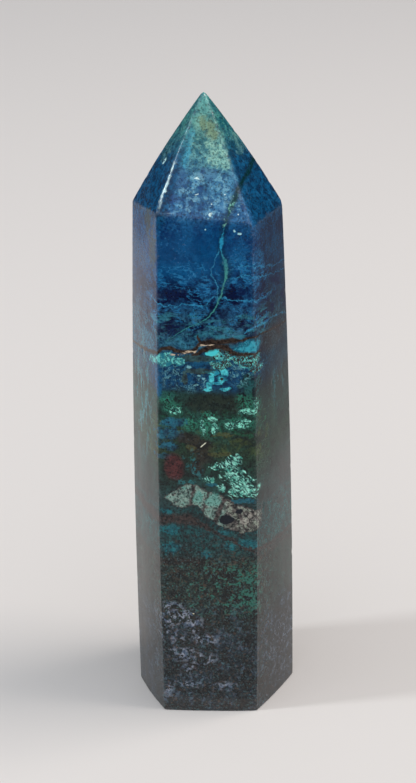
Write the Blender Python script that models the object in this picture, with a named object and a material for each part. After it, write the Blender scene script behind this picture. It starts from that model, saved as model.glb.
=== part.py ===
"""Jasper tower point: one polished stone, a tapering six-sided shaft with a six-faceted tip.

The stone stands on its flat foot, +Z up, the origin under its middle.
Each face is one flat grinding cut. Hand polishing then leaves the stone slightly barrelled,
its faces slightly crowned and its edges slightly rounded.
"""
import math

import bmesh
import bpy
from mathutils import Matrix, Vector

MM = 0.001

# Driving dimensions, in millimetres and degrees.
HEIGHT = 90.0  # up to the blunted point
SHOULDER = 74.9  # mean height of the corners where shaft and tip meet
APEX = (-0.15, -0.05, HEIGHT + 0.32)  # where the tip facets would meet, if the point was sharp

# The shaft faces: direction each one looks in, distance from the axis at the foot, inward lean.
SHAFT_CUTS = {
    "front": (-93.5, 9.85, 1.15),
    "right_front": (-29.5, 10.0, 0.4),
    "right_back": (22.5, 10.55, 1.2),
    "back": (86.5, 10.0, 1.05),
    "left_back": (150.5, 9.85, 0.55),
    "left_front": (202.0, 10.7, 1.1),
}
# The tip facets: direction each one looks in, and its angle from the upright.
TIP_CUTS = {
    "front": (-90.0, 28.5),
    "right_front": (-32.0, 30.75),
    "right_back": (23.0, 30.75),
    "back": (86.5, 30.25),
    "left_back": (150.5, 30.25),
    "left_front": (198.5, 31.25),
}

SHAFT_BOW = 0.039  # share by which the shaft is fuller at half its height
TIP_BOW = 0.14  # share by which the tip would be fuller at its apex, none at the shoulder
CROWN = 0.2  # how far the middle of a face stands above its edges
EDGE_ROUNDING = 0.4  # width of the rounded band along each edge

ROUGH_WIDTH = 40.0  # the block that the cuts start from
SAME_CORNER = 0.3  # corners nearer than this are one corner
SHAFT_LEVELS = (8.0, 17.0, 26.0, 35.0, 44.0, 53.0, 62.0, 70.0)
TIP_LEVELS = (78.5, 82.0, 85.5)
COLUMNS = 4  # strips that each face is parted into, across its width
SHORTEST_PARTED = 2.0  # level edges shorter than this stay whole
CROWN_REACH = 4.95  # distance from the middle of a face to its neighbours' planes
GROUND_ANGLE = 15.0  # edges that turn more than this are ground edges
SMOOTH_ANGLE = 35.0  # faces that meet at less than this are shaded as one surface
WELD = 0.002  # points nearer than this are one point


def direction(azimuth, rise):
    """Unit vector that looks along an azimuth and rises above the level by an angle."""
    flat = math.cos(math.radians(rise))
    return Vector((
        flat * math.cos(math.radians(azimuth)),
        flat * math.sin(math.radians(azimuth)),
        math.sin(math.radians(rise)),
    ))


def cutting_planes():
    """(point, outward normal) of every shaft and tip cut, in millimetres."""
    planes = []
    for azimuth, distance, lean in SHAFT_CUTS.values():
        planes.append((direction(azimuth, 0.0) * distance, direction(azimuth, lean)))
    for azimuth, slope in TIP_CUTS.values():
        planes.append((Vector(APEX), direction(azimuth, slope)))
    return planes


def cut_away(mesh, point, normal):
    """Cut the solid at a plane, drop what is outside and close the cut with one face."""
    geometry = mesh.verts[:] + mesh.edges[:] + mesh.faces[:]
    cut = bmesh.ops.bisect_plane(
        mesh, geom=geometry, dist=WELD, plane_co=point, plane_no=normal, clear_outer=True)
    rim = [item for item in cut["geom_cut"] if isinstance(item, bmesh.types.BMEdge)]
    bmesh.ops.edgeloop_fill(mesh, edges=rim)


def ground_block(planes):
    """The block after all its cuts: flat faces and sharp edges."""
    mesh = bmesh.new()
    size = Matrix.Diagonal((ROUGH_WIDTH, ROUGH_WIDTH, 2 * HEIGHT, 1.0))
    bmesh.ops.create_cube(mesh, size=1.0, matrix=Matrix.Translation((0, 0, HEIGHT)) @ size)
    for point, normal in planes:
        cut_away(mesh, point, normal)
    bmesh.ops.remove_doubles(mesh, verts=mesh.verts[:], dist=SAME_CORNER)
    return mesh


def part_into_strips(mesh):
    """Divide the faces by level lines, then each strip into columns, so that they can curve."""
    for level in SHAFT_LEVELS + TIP_LEVELS:
        geometry = mesh.verts[:] + mesh.edges[:] + mesh.faces[:]
        bmesh.ops.bisect_plane(
            mesh, geom=geometry, dist=WELD, plane_co=(0, 0, level), plane_no=(0, 0, 1))
    crosswise = []
    for edge in mesh.edges:
        run = edge.verts[1].co - edge.verts[0].co
        if abs(run.z) < run.xy.length and run.length > SHORTEST_PARTED:
            crosswise.append(edge)
    bmesh.ops.subdivide_edges(mesh, edges=crosswise, cuts=COLUMNS - 1, use_grid_fill=True)
    apex = max(mesh.verts, key=lambda vertex: vertex.co.z)
    for face in list(apex.link_faces):
        corners = [edge.other_vert(apex) for edge in apex.link_edges]
        for vertex in list(face.verts):
            if vertex is not apex and vertex not in corners:
                bmesh.ops.connect_vert_pair(mesh, verts=[apex, vertex])


def crown_faces(mesh, planes):
    """Raise each face's middle, by how far a point is from the planes of its neighbours."""
    moves = {}
    for vertex in mesh.verts:
        depths = sorted(
            ((point - vertex.co).dot(normal), index)
            for index, (point, normal) in enumerate(planes))
        outward = planes[depths[0][1]][1].copy()
        if depths[0][1] < len(SHAFT_CUTS):
            outward.z = 0.0
        inset = min(max(depths[1][0], 0.0) / CROWN_REACH, 1.0)
        moves[vertex] = outward * CROWN * (1 - (1 - inset) ** 2)
    for vertex, move in moves.items():
        vertex.co += move


def barrel(mesh):
    """Swell the shaft towards half its height, and the tip towards its apex."""
    for vertex in mesh.verts:
        along_shaft = min(vertex.co.z / SHOULDER, 1.0)
        along_tip = max((vertex.co.z - SHOULDER) / (APEX[2] - SHOULDER), 0.0)
        fullness = 1 + SHAFT_BOW * 4 * along_shaft * (1 - along_shaft)
        fullness *= 1 + TIP_BOW * along_tip
        axis = Vector((APEX[0] * along_tip, APEX[1] * along_tip))
        vertex.co.xy = axis + (vertex.co.xy - axis) * fullness


def round_edges(mesh):
    """A narrow rounded band along every ground edge."""
    ground = [
        edge for edge in mesh.edges
        if math.degrees(edge.calc_face_angle(0.0)) > GROUND_ANGLE]
    bmesh.ops.bevel(
        mesh, geom=ground, affect="EDGES", offset_type="OFFSET", offset=EDGE_ROUNDING / 2,
        segments=2, profile=0.5, clamp_overlap=True)
    bmesh.ops.remove_doubles(mesh, verts=mesh.verts[:], dist=WELD)


def centre_on_foot(mesh):
    """Put the origin under the middle of the stone's box."""
    xs = [vertex.co.x for vertex in mesh.verts]
    ys = [vertex.co.y for vertex in mesh.verts]
    middle = Vector(((min(xs) + max(xs)) / 2, (min(ys) + max(ys)) / 2, 0.0))
    bmesh.ops.translate(mesh, verts=mesh.verts[:], vec=-middle)


def stone_material():
    """Dark blue-green polished stone."""
    material = bpy.data.materials.new("polished_jasper")
    material.use_nodes = True
    shader = material.node_tree.nodes["Principled BSDF"]
    shader.inputs["Base Color"].default_value = (0.045, 0.105, 0.125, 1.0)
    shader.inputs["Roughness"].default_value = 0.25
    shader.inputs["Metallic"].default_value = 0.0
    material.diffuse_color = (0.045, 0.105, 0.125, 1.0)
    return material


def tower_point():
    """The whole stone, as one object."""
    planes = cutting_planes()
    mesh = ground_block(planes)
    part_into_strips(mesh)
    crown_faces(mesh, planes)
    barrel(mesh)
    round_edges(mesh)
    centre_on_foot(mesh)
    bmesh.ops.scale(mesh, verts=mesh.verts[:], vec=(MM, MM, MM))
    bmesh.ops.recalc_face_normals(mesh, faces=mesh.faces[:])
    data = bpy.data.meshes.new("tower_point")
    mesh.to_mesh(data)
    mesh.free()
    data.shade_smooth()
    data.set_sharp_from_angle(angle=math.radians(SMOOTH_ANGLE))
    data.materials.append(stone_material())
    stone = bpy.data.objects.new("tower_point", data)
    bpy.context.scene.collection.objects.link(stone)
    return stone


def main():
    for leftover in list(bpy.data.objects):
        bpy.data.objects.remove(leftover, do_unlink=True)
    tower_point()


main()
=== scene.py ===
import math
import random

import bpy
import numpy as np
from mathutils import Matrix, Vector, noise


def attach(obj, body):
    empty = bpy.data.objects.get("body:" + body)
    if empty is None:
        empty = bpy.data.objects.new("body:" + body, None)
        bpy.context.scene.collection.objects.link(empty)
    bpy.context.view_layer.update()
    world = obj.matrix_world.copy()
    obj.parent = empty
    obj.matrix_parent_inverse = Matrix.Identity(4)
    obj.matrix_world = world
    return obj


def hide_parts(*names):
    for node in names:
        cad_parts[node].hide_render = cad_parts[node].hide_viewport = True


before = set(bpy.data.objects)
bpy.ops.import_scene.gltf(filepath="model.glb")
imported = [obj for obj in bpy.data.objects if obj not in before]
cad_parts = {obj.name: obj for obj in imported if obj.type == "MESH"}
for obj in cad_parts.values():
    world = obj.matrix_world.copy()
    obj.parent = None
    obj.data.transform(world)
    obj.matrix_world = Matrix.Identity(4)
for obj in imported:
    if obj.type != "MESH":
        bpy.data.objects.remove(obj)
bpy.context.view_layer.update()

MM = 0.001

# The photograph: its size, and the camera that took it, in the stone's own frame.
PHOTO_WIDE, PHOTO_HIGH = 416, 783
FOCAL_PIXELS = 2000.0
CAMERA_PLACE = (-0.41, -259.46, 159.53)
CAMERA_PITCH = 23.53  # degrees below the level
CAMERA_ROLL = -1.235
SENSOR = 36.0

# The stone's fine shape, in millimetres.
LONGEST_EDGE = 0.6
BEND = 0.75  # share of the full bend towards the smooth surface at each halving
WAVE_DEPTH, WAVE_LENGTH = 0.03, 7.0
PIT_COUNT = 46
PIT_RADIUS = (0.22, 0.5)
PIT_DEPTH = (0.05, 0.13)
NICK_DEPTH, NICK_LENGTH = 0.1, 0.9
FOOT_MARGIN = 0.6

STONE_IOR = 1.55
POLISH = (0.13, 0.23)  # roughness where the polish is best and where it is dullest
BUMP_DEPTH = 0.01  # in millimetres
EDGE_PALENESS = 0.08
FACE_LIGHT = 0.65  # how bright a white front face would be in the studio

# The plain studio, in metres: place, aim, size, power and colour of each lamp.
KEY_LAMP = ((0.36, 0.02, 0.66), (0.0, 0.0, 0.02), (0.30, 0.30), 2.5, (1.0, 0.95, 0.90))
LEFT_BOX = ((-0.557, -0.087, 0.472), (0.0, 0.0, 0.08), (0.07, 0.12), 1.5, (0.88, 0.95, 1.0))
STUDIO_REACH = 1.6  # radius of the floor and of the backdrop round it
BACKDROP_HIGH = 1.2
FLOOR_COLOUR = (0.73, 0.685, 0.652)
BACKDROP_LIGHT = (0.60, 0.57, 0.53)
# Dark cards that only reflections see: middle, half width, half depth and colour of each.
DARK_CARDS = (
    ((0.0, -0.3625, 0.001), 0.40, 0.2075, (0.0, 0.0, 0.0)),
    ((0.0, -0.140, 0.001), 0.07, 0.015, (0.16, 0.165, 0.17)),
    ((0.0, -0.1075, 0.001), 0.07, 0.0175, (0.27, 0.275, 0.285)),
    ((0.0, -0.051, 0.001), 0.07, 0.039, (0.35, 0.36, 0.37)),
    ((0.34, 0.12, 0.001), 0.22, 0.26, (0.20, 0.20, 0.21)),
    ((0.0975, 0.12, 0.001), 0.0225, 0.26, (0.46, 0.45, 0.44)),
    ((-0.34, 0.30, 0.001), 0.20, 0.14, (0.35, 0.35, 0.36)),
)
# The same for cards that hang in the air and face the stone's tip.
HUNG_CARDS = (
    ((0.0, -0.35, 0.37), 0.12, 0.12, (0.36, 0.40, 0.46)),
    ((0.43, 0.21, 0.24), 0.13, 0.12, (0.03, 0.04, 0.05)),
)
TIP_MIDDLE = (0.0, 0.0, 0.08)
ROOM_COLOUR = (0.88, 0.93, 1.0, 1.0)
ROOM_RISE = (0.08, 0.40)  # upward part of the direction where the light starts and is full
ROOM_FRONT = (0.3, -0.45)  # the same for the part towards the front
ROOM_LEVELS = (0.28, 1.0)  # behind and in front
ROOM_LEAST = 0.03


def smooth_normals(points, faces):
    """Vertex normals weighted by area, so that the broad faces stay flat up to their edges."""
    a, b, c = (points[faces[:, k]] for k in range(3))
    across = np.cross(b - a, c - a)
    normals = np.zeros_like(points)
    for k in range(3):
        np.add.at(normals, faces[:, k], across)
    return normals / np.linalg.norm(normals, axis=1, keepdims=True)


def welded_mesh(node):
    """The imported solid's points, in millimetres, and its triangles, with shared corners joined."""
    data = node.data
    data.calc_loop_triangles()
    raw = np.array([vertex.co[:] for vertex in data.vertices]) / MM
    faces = np.array([triangle.vertices[:] for triangle in data.loop_triangles])
    _, first, same = np.unique(np.round(raw, 4), axis=0, return_index=True, return_inverse=True)
    return raw[first], same.reshape(-1)[faces]


def halve_long_edges(points, normals, faces):
    """Split every edge over the limit at its middle, and each triangle into two, three or four."""
    sides = np.sort(faces[:, [0, 1, 1, 2, 2, 0]].reshape(-1, 2), axis=1)
    edges, which = np.unique(sides, axis=0, return_inverse=True)
    which = which.reshape(-1, 3)
    start, end = points[edges[:, 0]], points[edges[:, 1]]
    long = np.linalg.norm(end - start, axis=1) > LONGEST_EDGE
    if not long.any():
        return points, normals, faces, False
    middle = (start + end) / 2
    bend = np.zeros_like(middle)
    for place, corner in ((start, edges[:, 0]), (end, edges[:, 1])):
        normal = normals[corner]
        bend += ((place - middle) * normal).sum(1, keepdims=True) * normal / 2
    new_normal = normals[edges[:, 0]] + normals[edges[:, 1]]
    new_normal /= np.linalg.norm(new_normal, axis=1, keepdims=True)
    number = np.full(len(edges), -1)
    number[long] = len(points) + np.arange(long.sum())
    points = np.vstack([points, (middle + BEND * bend)[long]])
    normals = np.vstack([normals, new_normal[long]])
    split = number[which]
    count = (split >= 0).sum(1)
    pieces = [faces[count == 0]]
    for turn in range(3):
        corner = np.roll(faces, -turn, axis=1)
        cut = np.roll(split, -turn, axis=1)
        one = (count == 1) & (cut[:, 0] >= 0)
        a, b, c, ab = corner[one, 0], corner[one, 1], corner[one, 2], cut[one, 0]
        pieces += [np.stack([a, ab, c], 1), np.stack([ab, b, c], 1)]
        two = (count == 2) & (cut[:, 2] < 0)
        a, b, c = corner[two].T
        ab, bc = cut[two, 0], cut[two, 1]
        pieces.append(np.stack([ab, b, bc], 1))
        from_a = np.linalg.norm(points[a] - points[bc], axis=1)
        from_c = np.linalg.norm(points[c] - points[ab], axis=1)
        near = from_a < from_c
        pieces += [
            np.stack([a, ab, bc], 1)[near], np.stack([a, bc, c], 1)[near],
            np.stack([a, ab, c], 1)[~near], np.stack([ab, bc, c], 1)[~near]]
    all_three = count == 3
    a, b, c = faces[all_three].T
    ab, bc, ca = split[all_three].T
    pieces += [
        np.stack([a, ab, ca], 1), np.stack([ab, b, bc], 1),
        np.stack([ca, bc, c], 1), np.stack([ab, bc, ca], 1)]
    return points, normals, np.vstack(pieces), True


def edge_wear(points, normals, faces):
    """How much each point lies on a rounded ground edge: 0 on the flats, up to 1."""
    a, b, c = (points[faces[:, k]] for k in range(3))
    across = np.cross(b - a, c - a)
    area = np.linalg.norm(across, axis=1, keepdims=True)
    turn = np.zeros(len(points))
    unit = across / np.maximum(area, 1e-12)
    for k in range(3):
        np.maximum.at(turn, faces[:, k], 1 - (unit * normals[faces[:, k]]).sum(1))
    return np.clip(np.degrees(np.arccos(np.clip(1 - turn, -1, 1))) / 12.0, 0, 1)


def relief(points, normals, wear):
    """How far the finished surface lies below the plain one: waves of the polish, pits, nicks."""
    rng = random.Random(7)
    depth = np.zeros(len(points))
    for i, point in enumerate(points):
        place = Vector(point)
        depth[i] = WAVE_DEPTH * (0.5 + 0.5 * noise.noise(place / WAVE_LENGTH))
        if wear[i] > 0.3:
            rough = noise.noise(place / NICK_LENGTH) + 0.5 * noise.noise(place / (NICK_LENGTH / 3))
            depth[i] += NICK_DEPTH * wear[i] * max(rough - 0.25, 0.0)
    for _ in range(PIT_COUNT):
        centre = points[rng.randrange(len(points))]
        radius = rng.uniform(*PIT_RADIUS)
        deep = rng.uniform(*PIT_DEPTH)
        near = np.linalg.norm(points - centre, axis=1) / radius
        depth += deep * np.clip(1 - near ** 2, 0, 1) ** 2
    above_foot = np.clip(points[:, 2] / FOOT_MARGIN, 0, 1)
    return depth * above_foot


def dense_stone(node):
    """The stone with its crowned faces, rounded edges, pits and nicks as real geometry."""
    points, faces = welded_mesh(node)
    lowest, highest = points.min(0), points.max(0)
    normals = smooth_normals(points, faces)
    going = True
    while going:
        points, normals, faces, going = halve_long_edges(points, normals, faces)
    normals = smooth_normals(points, faces)
    wear = edge_wear(points, normals, faces)
    points = points - normals * relief(points, normals, wear)[:, None]
    points = np.clip(points, lowest, highest)
    data = bpy.data.meshes.new("tower_point_stone")
    data.from_pydata((points * MM).tolist(), [], faces.tolist())
    data.attributes.new("wear", "FLOAT", "POINT").data.foreach_set("value", wear.astype(np.float32))
    data.shade_smooth()
    stone = bpy.data.objects.new("tower_point_stone", data)
    bpy.context.scene.collection.objects.link(stone)
    return stone


def shown(red, green, blue):
    """The paint that shows as this screen colour, 0 to 255, where the light is FACE_LIGHT."""
    def one(level):
        share = level / 255
        share = share / 12.92 if share <= 0.04045 else ((share + 0.055) / 1.055) ** 2.4
        return min(share / FACE_LIGHT, 0.95)
    return one(red), one(green), one(blue), 1.0


class Painter:
    """Short calls that add shader nodes to one tree and link them."""

    def __init__(self, tree):
        self.tree = tree

    def add(self, kind, inputs, **settings):
        node = self.tree.nodes.new("ShaderNode" + kind)
        for name, value in settings.items():
            setattr(node, name, value)
        for key, value in inputs.items():
            if isinstance(value, bpy.types.NodeSocket):
                self.tree.links.new(value, node.inputs[key])
            else:
                node.inputs[key].default_value = value
        return node

    def math(self, operation, a, b=0.0, c=0.0):
        return self.add("Math", {0: a, 1: b, 2: c}, operation=operation).outputs[0]

    def vector(self, operation, a, b=(0, 0, 0), c=(0, 0, 0)):
        return self.add("VectorMath", {0: a, 1: b, 2: c}, operation=operation).outputs[0]

    def ramp(self, value, low, high, start=0.0, end=1.0):
        """Rises smoothly from start to end while value goes from low to high."""
        return self.add("MapRange", {
            "Value": value, "From Min": low, "From Max": high, "To Min": start, "To Max": end,
        }, interpolation_type="SMOOTHSTEP").outputs[0]

    def mix(self, share, under, over):
        return self.add("Mix", {0: share, 6: under, 7: over}, data_type="RGBA").outputs[2]

    def both(self, *shares):
        result = shares[0]
        for share in shares[1:]:
            result = self.math("MULTIPLY", result, share)
        return result

    def bands(self, value, stops):
        """A colour that changes smoothly through stops (value, colour) as value rises."""
        low, high = stops[0][0], stops[-1][0]
        share = self.add("MapRange", {"Value": value, "From Min": low, "From Max": high})
        node = self.add("ValToRGB", {"Fac": share.outputs[0]})
        line = node.color_ramp.elements
        for at, _ in stops[1:-1]:
            line.new((at - low) / (high - low))
        for element, (_, colour) in zip(line, stops):
            element.color = shown(*colour)
        return node.outputs["Color"]

    def either(self, *shares):
        result = shares[0]
        for share in shares[1:]:
            result = self.math("MAXIMUM", result, share)
        return result

    def scaled(self, place, size, stretch, seed):
        scale = tuple(s / size for s in stretch)
        return self.vector("MULTIPLY_ADD", place, scale, (seed, 2.3 * seed, -1.7 * seed))

    def noise(self, place, size, detail=2.0, rough=0.5, stretch=(1, 1, 1), seed=0.0, twist=0.0):
        """Smooth noise from 0 to 1 whose lumps are about size millimetres."""
        return self.add("TexNoise", {
            "Vector": self.scaled(place, size, stretch, seed), "Scale": 1.0, "Detail": detail,
            "Roughness": rough, "Distortion": twist}).outputs["Fac"]

    def warped(self, place, size, amount, detail=1.0, seed=0.0):
        """place, moved about by up to amount millimetres in lumps of size millimetres."""
        node = self.add("TexNoise", {
            "Vector": self.scaled(place, size, (1, 1, 1), seed), "Scale": 1.0, "Detail": detail})
        moved = self.vector("SUBTRACT", node.outputs["Color"], (0.5, 0.5, 0.5))
        amounts = self.add("VectorMath", {0: moved, "Scale": amount * 2}, operation="SCALE")
        return self.vector("ADD", place, amounts.outputs[0])

    def cells(self, place, size, feature="DISTANCE_TO_EDGE", stretch=(1, 1, 1), seed=0.0):
        """Distance to the nearest wall, or to the nearest seed, of cells of about size millimetres."""
        return self.add("TexVoronoi", {
            "Vector": self.scaled(place, size, stretch, seed), "Scale": 1.0,
        }, feature=feature).outputs["Distance"]

    def threads(self, place, size, half_width, detail=3.0, stretch=(1, 1, 1), seed=0.0, twist=0.0):
        """1 on thin wandering lines, where a noise crosses its middle value."""
        level = self.noise(place, size, detail, 0.55, stretch, seed, twist)
        off = self.math("ABSOLUTE", self.math("SUBTRACT", level, 0.5))
        return self.ramp(off, half_width * 1.6, half_width * 0.5)

    def lump(self, place, centre, radii, soft=0.3):
        """1 inside an ellipsoid, 0 outside it."""
        off = self.vector("SUBTRACT", place, centre)
        share = self.vector("DIVIDE", off, radii)
        reach = self.add("VectorMath", {0: share}, operation="LENGTH").outputs["Value"]
        return self.ramp(reach, 1 + soft, 1 - soft)

    def curve(self, value, points):
        """A smooth function of value through the points (value, result)."""
        first, last = points[0][0], points[-1][0]
        low = min(result for _, result in points)
        span = max(result for _, result in points) - low or 1.0
        share = self.add("MapRange", {"Value": value, "From Min": first, "From Max": last})
        node = self.add("FloatCurve", {"Value": share.outputs[0]})
        line = node.mapping.curves[0]
        line.points[0].location = (0.0, (points[0][1] - low) / span)
        line.points[1].location = (1.0, (points[-1][1] - low) / span)
        for at, result in points[1:-1]:
            line.points.new((at - first) / (last - first), (result - low) / span)
        node.mapping.update()
        return self.math("MULTIPLY_ADD", node.outputs[0], span, low)

    def vein(self, along, across, route, half_widths, soft=0.35):
        """1 on a line that follows route, with the half width that half_widths gives."""
        off = self.math("SUBTRACT", across, self.curve(along, route))
        half = self.math("MAXIMUM", self.curve(along, half_widths), 0.001)
        share = self.math("DIVIDE", self.math("ABSOLUTE", off), half)
        return self.ramp(share, 1 + soft, 1 - soft)


# How the stone's colour runs with height: (height, darker tint, lighter tint).
ZONES = (
    (0.0, (15, 17, 19), (36, 41, 44)),
    (13.0, (16, 19, 20), (36, 42, 44)),
    (17.0, (20, 25, 25), (38, 56, 52)),
    (23.5, (21, 23, 21), (36, 56, 50)),
    (26.5, (20, 36, 36), (32, 68, 66)),
    (29.5, (18, 38, 42), (30, 78, 84)),
    (33.5, (26, 30, 30), (36, 60, 60)),
    (38.0, (20, 30, 27), (28, 60, 54)),
    (42.0, (24, 32, 24), (36, 64, 46)),
    (46.0, (14, 36, 32), (30, 76, 66)),
    (49.8, (20, 32, 30), (28, 54, 50)),
    (51.6, (10, 32, 48), (22, 66, 88)),
    (54.0, (9, 36, 60), (28, 84, 108)),
    (57.0, (10, 36, 66), (46, 108, 130)),
    (59.5, (10, 26, 54), (52, 104, 124)),
    (62.0, (8, 20, 50), (26, 80, 116)),
    (65.0, (3, 24, 62), (14, 74, 116)),
    (68.0, (0, 40, 82), (4, 80, 124)),
    (73.0, (0, 36, 80), (4, 78, 124)),
    (76.0, (10, 52, 94), (38, 100, 142)),
    (79.5, (16, 60, 94), (52, 110, 136)),
    (82.5, (26, 80, 96), (80, 134, 134)),
    (86.0, (34, 90, 90), (88, 136, 126)),
    (90.0, (42, 106, 106), (72, 140, 138)),
)


# What every region's node group is given: two sets of coordinates, then single patterns.
VECTORS = ("bent", "curly")
PATTERNS = (
    "grain", "fine", "fray", "swirl", "cloud", "blotch", "wander", "web", "streaks", "steep",
    "folds", "thickets", "specks", "dots", "rings", "strokes",
)
HAIR = 1e-7


class Rock:
    """The stone's coordinates, in millimetres, and the fine patterns that its regions share."""

    def __init__(self, paint, shared):
        self.paint = paint
        for name in VECTORS + PATTERNS:
            setattr(self, name, shared[name])
        self.x, self.y, self.z = paint.add("SeparateXYZ", {0: self.bent}).outputs
        self.curly_z = paint.add("SeparateXYZ", {0: self.curly}).outputs[2]
        self.front = paint.ramp(self.y, -5.0, -7.8)

    def level(self, tilt=0.2, height=None):
        """Height in layers that rise towards the back."""
        back = self.paint.math("MULTIPLY_ADD", self.y, -tilt, -8.7 * tilt)
        return self.paint.math("ADD", height or self.z, back)

    def between(self, low, high, fade=1.0):
        """1 where the height is from low to high."""
        paint = self.paint
        up = paint.ramp(self.z, low - fade, low + fade)
        return paint.both(up, paint.ramp(self.z, high + fade, high - fade))

    def spots(self, places, soft=0.3, where=None):
        """Rounded patches on the front face: (x, z, half width, half height) of each."""
        masks = [
            self.paint.lump(
                where or self.curly, (x, max(z - 75.0, 0.0) * 0.56 - 9.2, z), (wide, 3.2, high), soft)
            for x, z, wide, high in places]
        return self.paint.either(*masks)

    def torn(self, mask, rough=1.0, edge=0.08):
        """A soft mask with a ragged border and holes."""
        paint = self.paint
        value = paint.math("MULTIPLY_ADD", self.fray, rough * 4.0, mask)
        whole = paint.ramp(value, 0.5 + rough * 2.0 - edge, 0.5 + rough * 2.0 + edge)
        return paint.both(whole, paint.ramp(mask, 0.04, 0.3))

    def rags(self, places, rough=0.8, edge=0.08):
        """Ragged patches on the front face."""
        return self.torn(self.spots(places, 0.75), rough, edge)

    def streaky(self, dark, light):
        """A tint that wavers finely between two colours."""
        return self.paint.mix(self.paint.ramp(self.swirl, 0.40, 0.60), shown(*dark), shown(*light))


def shared_patterns(paint):
    """What every region reads, as VECTORS and PATTERNS list it, finished before any region."""
    here = paint.add("TexCoord", {}).outputs["Object"]
    place = paint.add("VectorMath", {0: here, "Scale": 1 / MM}, operation="SCALE").outputs[0]
    bent = paint.warped(place, 4.0, 0.35, seed=3.0)
    curly = paint.warped(bent, 1.4, 0.5, detail=4.0, seed=8.0)
    coarse = paint.threads(bent, 2.6, 0.010, detail=5.0, stretch=(0.7, 0.7, 1.5), seed=4.0)
    thin = paint.threads(curly, 1.3, 0.022, detail=4.0, stretch=(0.6, 0.6, 1.5), seed=34.0)
    slanted = paint.add(
        "VectorRotate", {"Vector": curly, "Angle": -0.73}, rotation_type="Y_AXIS").outputs[0]
    patterns = {
        "grain": paint.noise(place, 0.42, detail=3.0, rough=0.7, seed=1.0),
        "fine": paint.noise(place, 0.3, detail=2.0, rough=0.7, seed=12.0),
        "fray": paint.noise(place, 0.85, detail=5.0, rough=0.72, seed=2.0),
        "swirl": paint.noise(curly, 0.8, detail=4.0, rough=0.66, seed=41.0),
        "cloud": paint.noise(place, 2.6, detail=5.0, rough=0.66, seed=5.0, twist=0.6),
        "blotch": paint.noise(bent, 2.4, detail=4.0, rough=0.65, stretch=(1, 1, 1.5), seed=21.0),
        "wander": paint.noise(place, 9.0, detail=2.0, seed=11.0),
        "web": paint.either(coarse, thin),
        "streaks": paint.noise(
            bent, 0.9, detail=4.0, rough=0.65, stretch=(0.4, 0.4, 1.4), seed=6.0),
        "steep": paint.noise(
            curly, 0.9, detail=4.0, rough=0.66, stretch=(1, 1, 0.35), seed=121.0),
        "folds": paint.noise(curly, 0.75, detail=3.0, rough=0.6, seed=84.0, twist=1.5),
        "thickets": paint.noise(place, 4.5, detail=1.0, seed=82.0),
        "specks": paint.cells(place, 0.6, feature="F1", seed=19.0),
        "dots": paint.cells(curly, 2.8, feature="F1", seed=17.0),
        "rings": paint.cells(curly, 0.95, seed=27.0),
        "strokes": paint.noise(
            slanted, 0.62, detail=3.0, rough=0.6, stretch=(0.4, 1, 1.15), seed=91.0, twist=0.4),
    }
    ragged = paint.warped(curly, 0.8, 0.15, detail=4.0, seed=41.0)
    steady = paint.vector("MULTIPLY_ADD", paint.vector("SUBTRACT", ragged, bent), (0.2, 0.2, 0.2), bent)
    # Each pattern hangs on the last coordinates by a hair, so that all of them are ready
    # together and the regions are then worked out one after another, in little memory.
    last = paint.add("SeparateXYZ", {0: ragged}).outputs[0]
    ready = {name: paint.math("MULTIPLY_ADD", last, HAIR, made) for name, made in patterns.items()}
    return {"bent": steady, "curly": ragged, **ready}


def ground_colour(rock, _):
    """The zones, each clouded between its darker and lighter tint, and the right side darkened, partly as painted
    shade.
    """
    paint = rock.paint
    height = paint.math("MULTIPLY_ADD", rock.wander, 5.0, rock.level(0.08))
    height = paint.math("ADD", height, -2.5)
    darker = paint.bands(height, [(z, dark) for z, dark, _ in ZONES])
    lighter = paint.bands(height, [(z, light) for z, _, light in ZONES])
    mottled = paint.math("MULTIPLY_ADD", rock.grain, 0.5, rock.cloud)
    mottled = paint.math("MULTIPLY_ADD", rock.swirl, 0.6, mottled)
    colour = paint.mix(paint.ramp(mottled, 0.84, 1.26), darker, lighter)
    # The right side painted darker: partly the stone's own darker tone, partly painted shade where that face gets less
    # light.
    right_tone_and_shade = paint.both(
        paint.ramp(rock.x, 5.6, 8.0), paint.ramp(rock.y, 5.0, 0.0),
        paint.ramp(rock.z, 38.0, 52.0, 0.25, 0.62))
    return paint.mix(right_tone_and_shade, colour, shown(7, 13, 22))


def dark_grains(rock, colour):
    """Fine dark grains over the whole stone, fewer in the smooth blue, and a few pale ones."""
    paint = rock.paint
    smooth = paint.lump(rock.bent, (-2.5, -9, 69.6), (6.5, 6, 4.2), 0.4)
    rough = paint.math("SUBTRACT", 1.0, paint.math("MULTIPLY", smooth, 0.7))
    dark = paint.both(rough, paint.ramp(rock.fine, 0.49, 0.36), paint.ramp(rock.z, 52.0, 30.0, 0.6, 0.8))
    colour = paint.mix(dark, colour, shown(7, 11, 14))
    low = paint.both(rock.front, paint.ramp(rock.z, 32.0, 24.0))
    rusty = paint.both(low, paint.ramp(rock.grain, 0.54, 0.64), paint.ramp(rock.cloud, 0.40, 0.56, 0.2, 0.55))
    colour = paint.mix(rusty, colour, shown(78, 62, 50))
    cool = paint.both(low, paint.ramp(rock.fine, 0.54, 0.62), paint.ramp(rock.grain, 0.56, 0.48), 0.5)
    colour = paint.mix(cool, colour, shown(64, 88, 90))
    light = paint.both(rough, paint.ramp(rock.fine, 0.58, 0.70), paint.ramp(rock.fray, 0.48, 0.60))
    return paint.mix(paint.math("MULTIPLY", light, 0.25), colour, shown(70, 110, 120))


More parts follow.
